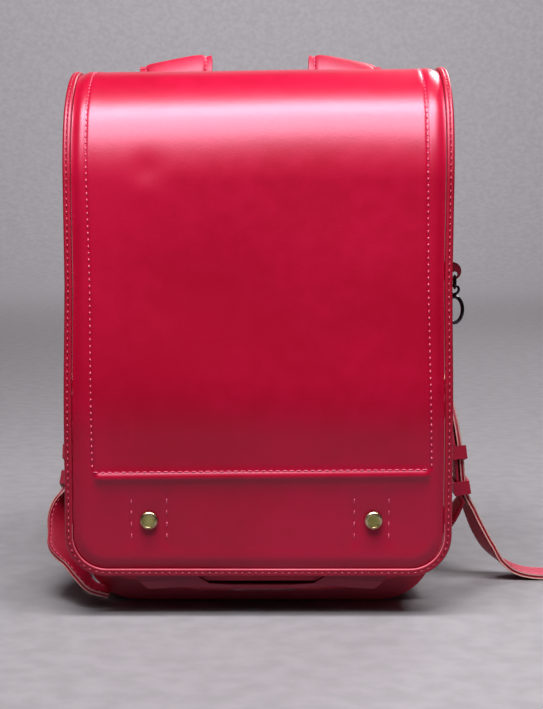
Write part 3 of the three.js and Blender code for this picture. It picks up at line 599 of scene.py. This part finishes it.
sew = binding_route(edging_inset)
edging_lift = edging_rise + binding_lift(sew[:, 0], sew[:, 1])
edging_line = on_flap(sew[:, 0], sew[:, 1], edging_lift)
stitches("edging_stitches", [edging_line], *edging_stitch, darker_thread)
panel_lines = []
for line in (left_line, right_line):
    distances = np.arange(panel_start, seam_distance, line_step)
    acrosses = line_at(line, distances)
    lifts = flap_relief(distances, acrosses) + panel_rise
    panel_lines.append(on_flap(distances, acrosses, lifts))
stitches("panel_stitches", panel_lines, *panel_stitch, rose_thread)
acrosses = np.arange(left_line[1], right_line[1], line_step)
distances = cross_seam(acrosses)
cross_line = on_flap(distances, acrosses, flap_relief(distances, acrosses) + cross_rise)
stitches("cross_stitches", [cross_line], *cross_stitch, rose_thread)
rivet_lines = []
for x in rivet_seams:
    heights = np.arange(*rivet_seam_heights, rivet_line_step)
    distances = flap.length - (heights - edge_low[2])
    rivet_lines.append(on_flap(distances, x, flap_relief(distances, x) + panel_rise))
stitches("rivet_stitches", rivet_lines, *rivet_stitch, rose_thread)


# Rivets
# Two antique brass studs hold the flap's hem to the tongue behind it. Each has a flat
# dull face inside a bright bevelled rim with a finely milled side.
tarnish_scale = 260
scratch_scale = 1900
tarnish_dulling = 0.16


def metal(name, deep, bright, gloss):
    finish = Finish(name, {"Metallic": 1})
    tarnish = finish.cloud(tarnish_scale, 4)
    scratches = finish.cloud(scratch_scale, 2)
    return finish.feed(
        Base_Color=finish.colours(finish.rise(tarnish, 0.35, 0.7), deep, bright),
        Roughness=gloss + tarnish * tarnish_dulling,
        Normal=finish.bump(tarnish * 0.5 + scratches * 0.5, 0.05, 0.4),
    )


old_brass = metal("old_brass", tone(150, 130, 92), tone(226, 208, 172), 0.22)
dull_brass = metal("dull_brass", tone(152, 146, 86), tone(184, 178, 118), 0.5)
rivet_profile = [
    (5.8, 0.0), (5.9, 0.4), (5.9, 1.0), (5.65, 1.6), (5.2, 2.1), (4.7, 2.35), (4.2, 2.4),
    (4.05, 2.2), (3.8, 2.15), (2.4, 2.2), (1.2, 2.25),
]
rivet_teeth = 34
rivet_points = 4 * rivet_teeth
tooth_depth = 0.12
milled_from = 5.2
dull_radius = 3.9
turns = np.arange(rivet_points) * math.tau / rivet_points
for side in ("left", "right"):
    low, high = (np.array(corner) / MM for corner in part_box(f"rivet_{side}"))
    centre = (low + high) / 2
    rings = []
    for out, rise in rivet_profile:
        radius = out + tooth_depth * (out > milled_from) * np.cos(turns * rivet_teeth)
        rings.append(np.stack([
            centre[0] + radius * np.cos(turns),
            high[1] - rise + 0 * turns,
            centre[2] + radius * np.sin(turns),
        ], -1))
    rivet = loft(f"rivet_head_{side}", rings, old_brass, sharp=35)
    rivet.data.materials.append(dull_brass)
    for face in rivet.data.polygons:
        spot = face.center / MM
        reach = math.hypot(spot[0] - centre[0], spot[2] - centre[2])
        face.material_index = 1 if reach < dull_radius else 0
    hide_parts(f"rivet_{side}")
    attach(rivet, "root")


# Walls
# The body is a stiff box of leather panels over board: two U-shaped side walls, the
# panels they are sewn to, and the plate that carries the straps. Cut edges are
# rounded over and painted, and a row of stitches runs just inside the rims of the back
# panel and the strap plate.
corner_angle = 35


def dressed(name, material, rounding, steps=2):
    """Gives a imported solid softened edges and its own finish."""
    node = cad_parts[name]
    node.data.materials.clear()
    node.data.materials.append(material)
    bevel = node.modifiers.new("soft_edges", "BEVEL")
    bevel.width = rounding * MM
    bevel.segments = steps
    bevel.angle_limit = math.radians(corner_angle)
    bevel.harden_normals = False
    return node


stiff_walls = (
    "main_gusset", "small_gusset", "main_front", "small_front", "back_panel", "strap_plate",
)
for name in stiff_walls:
    dressed(name, body_leather, rounding=0.7)
for side in ("left", "right"):
    dressed(f"base_tab_{side}", body_leather, rounding=0.6)

rim_stitch = (4.3, 3.0, 0.8)
rim_rise = 0.1
rim_corner_points = 12
rim_step = 2
back_inset = 5
back_radii = (34, 17)
plate_inset = 3.5
plate_radii = (5, 5)


def rim_line(low, high, radii, inset):
    """A stitch line on the back face of a panel, just inside its rim."""
    left, right = low[0] + inset, high[0] - inset
    bottom, top = low[2] + inset, high[2] - inset
    face = high[1] + rim_rise
    radius, top_radius = radii
    corners = [(right, bottom, radius), (right, top, top_radius), (left, top, top_radius),
               (left, bottom, radius)]
    points = []
    for index, (x, z, round_off) in enumerate(corners):
        centre_x = x - math.copysign(round_off, x)
        centre_z = z + round_off if z == bottom else z - round_off
        for share in np.linspace(0, 1, rim_corner_points):
            angle = (index - 1 + share) * math.pi / 2
            points.append((centre_x + round_off * math.cos(angle), face,
                           centre_z + round_off * math.sin(angle)))
    points.append(points[0])
    dense = []
    for a, b in zip(points, points[1:]):
        count = max(2, int(math.dist(a, b) / rim_step))
        dense.extend(np.linspace(a, b, count)[:-1])
    return np.array(dense), np.tile([0, 1, 0], (len(dense), 1))


back_low, back_high = (np.array(corner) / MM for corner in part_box("back_panel"))
plate_low, plate_high = (np.array(corner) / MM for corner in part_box("strap_plate"))
back_rim = rim_line(back_low, back_high, back_radii, back_inset)
plate_rim = rim_line(plate_low, plate_high, plate_radii, plate_inset)
stitches("back_rim_stitches", [back_rim], *rim_stitch, rose_thread)
stitches("plate_stitches", [plate_rim], *rim_stitch, rose_thread)


# Lock tongue
# A broad leather tongue hangs behind the hem on two riveted legs and turns under the
# bag. Its edge is turned over a cord, so it ends in a low round lip, and the lock under
# the bag is two plain plates. The tongue's darker leather and the plates' black nickel
# are painted shade, for both lie in the shadow under the hem and the bag.
# Black nickel is the hook's own plating, and painted shade on the lock plates under the bag.
black_nickel_and_shade = metal("black_nickel_and_shade", tone(38, 38, 44), tone(78, 78, 86), 0.18)
# The darker leather on the tongue is painted shade under the hem.
dressed("lock_tongue", dark_and_shaded_leather, rounding=0.9, steps=3)
# The plates are blackened as painted shade under the bag.
for name in ("hasp_plate", "lock_plate"):
    dressed(name, black_nickel_and_shade, rounding=0.5)


# Straps
# Each padded strap rises from a metal loop, arches over and tapers to a two-ply belt.
# The belt's end runs through a buckle and two keepers and hangs free: its raw edges
# show both plies, pale where they were cut.
strap_reach = 10
panel_margin = 3
strap_span = 2 * (back_high[0] - panel_margin + strap_reach)
bag_depth = 2 * (back_low[1] - seam_gap)
strap_width = 48
strap_thickness = 9
belt_width = 22
belt_thickness = 3.6
belt = belt_width / strap_width
thin = belt_thickness / strap_thickness
# Stations: x, y and z as shares of half the straps' span, the body's depth and the
# flap's height, the direction across the strap, and its width and thickness as shares
shoulder_stations = [
    (0.52, 0.66, 0.862, 1, 0, 0, 0.9, 0.6),
    (0.51, 0.68, 0.93, 1, 0, -0.06, 1.02, 0.9),
    (0.505, 0.73, 1.02, 1, 0, -0.2, 1.12, 1),
    (0.51, 0.83, 1.049, 1, 0, -0.2, 1.16, 1),
    (0.53, 0.945, 1.0, 1, 0, -0.12, 1.1, 1),
    (0.6, 1.01, 0.88, 1, -0.1, 0, 1, 1),
    (0.7, 1.02, 0.75, 0.95, -0.25, 0, 0.94, 1),
    (0.83, 0.93, 0.63, 0.75, -0.65, 0.1, 0.78, 0.8),
    (0.95, 0.72, 0.52, 0.4, -0.9, 0.3, 0.6, 0.6),
    (1.03, 0.45, 0.43, 0.1, -1, 0.5, belt, thin),
    (1.085, 0.22, 0.365, 0, -1, 0.3, belt, thin),
]
free_stations = {
    "right": [
        (1.118, 0.09, 0.31, 0, -1, 0.1, belt, thin),
        (1.14, 0.02, 0.25, 0, -1, 0, belt, thin),
        (1.16, 0.01, 0.184, 0, -1, 0, belt, thin),
        (1.2, 0.01, 0.142, 0.2, -1, 0.1, belt, thin),
        (1.255, 0.01, 0.098, 0.3, -1, 0.1, belt, thin),
        (1.31, 0.01, 0.065, 0.3, -1, 0.1, belt, thin),
        (1.37, 0.01, 0.039, 0.15, -1, 0, belt, thin),
        (1.45, 0.01, 0.019, 0, -1, 0, belt, thin),
        (1.54, 0.01, 0.0095, 0, -1, 0, belt, thin),
        (1.66, 0.01, 0.0068, 0, -1, 0, belt, thin),
        (1.8, 0.01, 0.0065, 0, -1, 0, belt * 0.55, thin),
    ],
    "left": [
        (1.085, 0.06, 0.31, 0, -1, 0.1, belt, thin),
        (1.074, -0.02, 0.25, 0, -1, 0, belt, thin),
        (1.088, -0.07, 0.198, 0, -1, 0, belt, thin),
        (1.105, -0.13, 0.165, 0.12, -1, 0, belt, thin),
        (1.1, -0.23, 0.138, 0.4, -0.9, 0, belt, thin),
        (1.075, -0.35, 0.117, 0.55, -0.75, -0.1, belt, thin),
        (1.06, -0.45, 0.1, 0.5, -0.75, -0.2, belt, thin),
        (1.0, -0.53, 0.08, 0.3, -0.9, -0.2, belt, thin),
        (0.95, -0.59, 0.056, 0.1, -1, -0.1, belt, thin),
        (0.9, -0.605, 0.036, 0, -1, 0, belt, thin),
        (0.8, -0.605, 0.022, 0, -1, 0, belt * 0.7, thin),
    ],
}


look_aside = 0.01


class Route:
    """The strap's middle line and its directions, through its stations."""

    def __init__(self, stations, mirror):
        table = np.array(stations)
        size = [mirror * strap_span / 2, bag_depth, flap_top]
        self.stops = table[:, :3] * size
        self.across = table[:, 3:6] * [mirror, 1, 1]
        self.sizes = table[:, 6:] * [strap_width, strap_thickness]
        self.mirror = mirror
        self.last = len(stations) - 1

    def centre(self, station):
        k = min(int(station), self.last - 1)
        part = station - k
        p1, p2 = self.stops[k], self.stops[k + 1]
        p0 = self.stops[k - 1] if k > 0 else 2 * p1 - p2
        p3 = self.stops[k + 2] if k + 2 <= self.last else 2 * p2 - p1
        d0, d1, d2 = (math.sqrt(math.dist(a, b)) for a, b in ((p0, p1), (p1, p2), (p2, p3)))
        t1 = ((p1 - p0) / d0 - (p2 - p0) / (d0 + d1) + (p2 - p1) / d1) * d1
        t2 = ((p2 - p1) / d1 - (p3 - p1) / (d1 + d2) + (p3 - p2) / d2) * d1
        curve = (2 * (p1 - p2) + t1 + t2) * part**3
        return p1 + t1 * part + (3 * (p2 - p1) - 2 * t1 - t2) * part**2 + curve

    def at(self, station):
        centre = self.centre(station)
        ahead = self.centre(min(station + look_aside, self.last))
        along = ahead - self.centre(max(station - look_aside, 0))
        along = along / np.linalg.norm(along)
        k = min(int(station), self.last - 1)
        part = station - k
        side = self.across[k] * (1 - part) + self.across[k + 1] * part
        side = side - along * (side @ along)
        side = side / np.linalg.norm(side)
        out = -self.mirror * np.cross(along, side)
        width, thick = self.sizes[k] * (1 - part) + self.sizes[k + 1] * part
        return centre, along, side, out, width, thick


# Across the strap, as shares of its half width: a groove under the stitches, and two
# plies with a notch between them at the edge
seam_share = 0.84
outward_shares = (0.25, 0.5, 0.72, 0.8, seam_share, 0.88, 0.95, 1.0)
edge_shares = (*(-share for share in reversed(outward_shares)), 0, *outward_shares)
strap_groove = (-0.35, 0.04)
flat_share = 0.86
ply_edge = [(0.995, 0.75), (0.95, 0.6), (0.95, -0.6), (0.995, -0.75)]


def strap_crown(share, thick):
    """Half thickness of the strap at a share of its half width."""
    out = abs(share)
    padding = max(0.0, thick - belt_thickness) / 2
    flat = belt_thickness / 2 * (flat_share + (1 - flat_share) * math.sqrt(1 - out**6))
    crown = padding * math.sqrt(1 - min(1, out / seam_share) ** 4)
    return flat + crown + raised(out - seam_share, strap_groove)


def strap_ring(frame_at):
    centre, _, side, out, width, thick = frame_at
    upper = [(share, strap_crown(share, thick)) for share in edge_shares]
    lower = [(share, -strap_crown(share, thick)) for share in reversed(edge_shares)]
    left_edge = [(-share, -height) for share, height in ply_edge]
    section = upper + ply_edge + lower + left_edge
    return np.array([centre + side * a * width / 2 + out * h for a, h in section])


raw_edge = leather("raw_edge", tone(176, 118, 112), tone(226, 186, 172), 0.7, 3)
strap_leather = leather("strap_leather", tone(144, 4, 34), tone(176, 10, 50), 0.48, 2)
strap_stitch = (4.3, 3.0, 0.75)
thread_rise = 0.12
thread_step = 0.04
unsewn = 0.3
ring_step = 0.06
padded_share = 0.4


def strap_line(route, share, face):
    """A stitch line on the strap's outer face (1) or inner face (-1)."""
    line = []
    normals = []
    for station in np.arange(unsewn, route.last - unsewn, thread_step):
        centre, _, side, out, width, thick = route.at(station)
        height = strap_crown(share, thick) + thread_rise
        line.append(centre + side * share * width / 2 + out * face * height)
        normals.append(out * face)
    return np.array(line), np.array(normals)


for side, mirror in (("left", -1), ("right", 1)):
    route = Route(shoulder_stations + free_stations[side], mirror)
    stations = np.arange(0, route.last + ring_step / 2, ring_step)
    rings = [strap_ring(route.at(min(station, route.last))) for station in stations]
    strap = loft(f"strap_{side}", rings, strap_leather, sharp=55)
    strap.data.materials.append(raw_edge)
    count = len(rings[0])
    right_edge = len(edge_shares)
    lower_face = right_edge + len(ply_edge)
    left_edge = lower_face + len(edge_shares)
    cut_strips = [
        {right_edge - 1, right_edge},
        {lower_face - 1, lower_face},
        {left_edge - 1, left_edge},
        {count - 1, 0},
    ]
    for face in strap.data.polygons:
        places = {vertex % count for vertex in face.vertices}
        free = min(face.vertices) // count > len(stations) * padded_share
        face.material_index = 1 if free and places in cut_strips else 0
    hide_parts(f"shoulder_strap_{side}")
    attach(strap, "root")
    lines = [
        strap_line(route, share, face)
        for share in (-seam_share, seam_share)
        for face in (1, -1)
    ]
    stitches(f"strap_stitches_{side}", lines, *strap_stitch, rose_thread)
    dressed(f"lower_belt_{side}", strap_leather, rounding=0.5)
    for name in (f"keeper_upper_{side}", f"keeper_lower_{side}"):
        dressed(name, strap_leather, rounding=1.2, steps=3)
    for name in (f"buckle_{side}", f"strap_ring_{side}", f"base_ring_{side}"):
        dressed(name, old_brass, rounding=0.5)
dressed("chest_tab", strap_leather, rounding=0.5)
dressed("chest_ring", old_brass, rounding=0.1)


# Side hook
# A small black snap hook hangs from a leather tab in the side seam. The hook, its
# swivel eye and its sprung gate are bent from plated wire.
hook_tab = dressed("hook_tab", dark_and_shaded_leather, rounding=0.6)
# The tab is worn thinner all round, its hole too, so the link has room to swing
hole_wear = 0.25
worn_hole = hook_tab.modifiers.new("worn_hole", "DISPLACE")
worn_hole.strength = -hole_wear * MM
worn_hole.mid_level = 0
for name in ("hook_link", "snap_hook", "hook_gate"):
    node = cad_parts[name]
    node.data.materials.clear()
    node.data.materials.append(black_nickel_and_shade)


# Back pads
# Two foam cushions in soft leather lie on the back wall, either side of the wearer's
# spine. They are blown up as cloth, then pressed by three sewn channels each.
pad_cap = 3.5
pad_pressure = 4
last_frame = 20
pad_channels = (-52, 0, 52)
channel_press = (0.6, 3)
press_height = 6
pad_inset = 2
pad_points = 96
corner_powers = (0.32, 0.2)
# Each ring of a cushion: how far it stands off the wall, and how far in it is drawn
pad_section = ((0.4, 0), (2.0, 0), (4.0, 0.7), (5.6, 2.2), (6.6, 5))
voxel = 4.5
pad_leather = leather("pad_leather", tone(128, 8, 36), tone(150, 12, 46), 0.5, 2.5)


def blown(piece, limit):
    """Blows a closed piece up as cloth, by no more than limit at any point."""
    mesh = piece.data
    before = np.array([vertex.co for vertex in mesh.vertices])
    cloth = piece.modifiers.new("filling", "CLOTH")
    cloth.settings.use_pressure = True
    cloth.settings.uniform_pressure_force = pad_pressure
    cloth.settings.effector_weights.gravity = 0
    scene = bpy.context.scene
    for step in range(1, last_frame + 1):
        scene.frame_set(step)
    depsgraph = bpy.context.evaluated_depsgraph_get()
    after = np.array([vertex.co for vertex in piece.evaluated_get(depsgraph).data.vertices])
    scene.frame_set(1)
    piece.modifiers.remove(cloth)
    move = after - before
    far = np.linalg.norm(move, axis=1)
    scale = np.minimum(1, limit * MM / np.maximum(far, 1e-9))
    for vertex, place in zip(mesh.vertices, before + move * scale[:, None]):
        vertex.co = place


for side in ("left", "right"):
    low, high = (np.array(corner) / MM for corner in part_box(f"back_pad_{side}"))
    middle = (low + high) / 2
    size = (high - low) / 2
    outline = []
    for turn in np.arange(pad_points) * math.tau / pad_points:
        c, s = math.cos(turn), math.sin(turn)
        outline.append((
            math.copysign(abs(c) ** corner_powers[0], c) * (size[0] - pad_inset),
            math.copysign(abs(s) ** corner_powers[1], s) * (size[2] - pad_inset),
        ))
    outline = np.array(outline)
    rings = []
    for rise, inset in pad_section:
        edge = outline - np.sign(outline) * inset
        rings.append(np.stack([
            middle[0] + edge[:, 0], low[1] + rise + 0 * edge[:, 0], middle[2] + edge[:, 1],
        ], -1))
    pad = loft(f"pad_{side}", rings, pad_leather)
    remesh = pad.modifiers.new("even_faces", "REMESH")
    remesh.mode = "VOXEL"
    remesh.voxel_size = voxel * MM
    depsgraph = bpy.context.evaluated_depsgraph_get()
    even = bpy.data.meshes.new_from_object(pad.evaluated_get(depsgraph))
    pad.modifiers.remove(remesh)
    pad.data = even
    blown(pad, pad_cap)
    finer = pad.modifiers.new("finer", "SUBSURF")
    finer.levels = 2
    finer.render_levels = 2
    depsgraph = bpy.context.evaluated_depsgraph_get()
    pad.data = bpy.data.meshes.new_from_object(pad.evaluated_get(depsgraph))
    pad.modifiers.remove(finer)
    for vertex in pad.data.vertices:
        x, y, z = np.array(vertex.co) / MM
        lift = max(0.0, y - low[1])
        press = sum(raised(z - middle[2] - channel, channel_press) for channel in pad_channels)
        y = low[1] + lift * (1 - press * min(1, lift / press_height))
        vertex.co = np.array([x, y, z]) * MM
    pad.data.shade_smooth()
    pad.data.materials.clear()
    pad.data.materials.append(pad_leather)
    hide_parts(f"back_pad_{side}")
    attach(pad, "root")


# Studio
# Grey paper runs out round the bag on all sides and curves up far away. Two long soft
# lamps overhead lay the highlight over the flap's top, weaker ones fill in from the
# front and the back, and the last one lights the paper behind.
paper_start = 300
paper_reach = 5000
paper_height = 4000
paper_bend = 1500
paper_step = 120
paper_points = 96
fibre_scale = 60
tooth_scale = 300


def paper_finish():
    paper = Finish("paper", {"Roughness": 0.9})
    fibre = paper.rise(paper.cloud(fibre_scale, 4), 0.3, 0.7)
    return paper.feed(
        Base_Color=paper.colours(fibre, tone(128, 124, 128), tone(136, 132, 136)),
        Normal=paper.bump(paper.cloud(tooth_scale, 2), 0.1, 0.2),
    )


def sweep():
    corners = [(paper_start, 0, 0), (paper_reach, 0, paper_bend), (paper_reach, paper_height, 0)]
    turns = np.arange(paper_points) * math.tau / paper_points
    rings = [
        np.stack([radius * np.cos(turns), radius * np.sin(turns), z + 0 * turns], -1)
        for radius, z in rounded_path(corners, paper_step)
    ]
    faces = [tuple(range(paper_points))]
    for low in range(0, (len(rings) - 1) * paper_points, paper_points):
        for j in range(paper_points):
            n = (j + 1) % paper_points
            faces.append((low + j, low + n, low + paper_points + n, low + paper_points + j))
    return made("paper_sweep", np.concatenate(rings), faces, paper_finish(), sharp=30)


sweep()


def soft_light(name, place, target, size, depth, power):
    light = bpy.data.lights.new(name, "AREA")
    light.shape = "RECTANGLE"
    light.size = size * MM
    light.size_y = depth * MM
    light.energy = power
    lamp = bpy.data.objects.new(name, light)
    lamp.location = np.array(place) * MM
    aim = (np.array(target) - np.array(place)) * MM
    lamp.rotation_euler = Vector(aim).to_track_quat("-Z", "Y").to_euler()
    bpy.context.scene.collection.objects.link(lamp)


# Each lamp's place, what it points at, its width, its depth and its power
lamps = {
    "overhead_near": ((20, -300, 1400), (0, -60, 300), 1100, 260, 26),
    "overhead_far": ((20, -720, 1400), (0, -60, 300), 1100, 320, 17),
    "front_fill": ((-700, -1300, 1700), (0, 0, 200), 900, 700, 4),
    "back_fill": ((900, 1500, 1500), (0, 0, 200), 900, 700, 22),
    "backdrop": ((0, 3200, 2600), (0, 5000, 500), 2500, 600, 110),
}
for name, setting in lamps.items():
    soft_light(name, *setting)
world = bpy.data.worlds.new("room")
world.use_nodes = True
room = world.node_tree.nodes["Background"].inputs
room["Color"].default_value = tone(200, 200, 204)
room["Strength"].default_value = 0.03
bpy.context.scene.world = world
bpy.context.scene.view_settings.view_transform = "Standard"

# The camera stands a metre in front, level with the upper third of the bag
camera_place = (8.4, -1048, 271)
camera_drop = 6
focal_pixels = 1490
image_height = 709
lens = bpy.data.cameras.new("camera")
lens.sensor_width = 36
lens.lens = focal_pixels / image_height * lens.sensor_width
camera = bpy.data.objects.new("camera", lens)
camera.location = np.array(camera_place) * MM
camera.rotation_euler = (math.radians(90 - camera_drop), 0, 0)
bpy.context.scene.collection.objects.link(camera)
bpy.context.scene.camera = camera
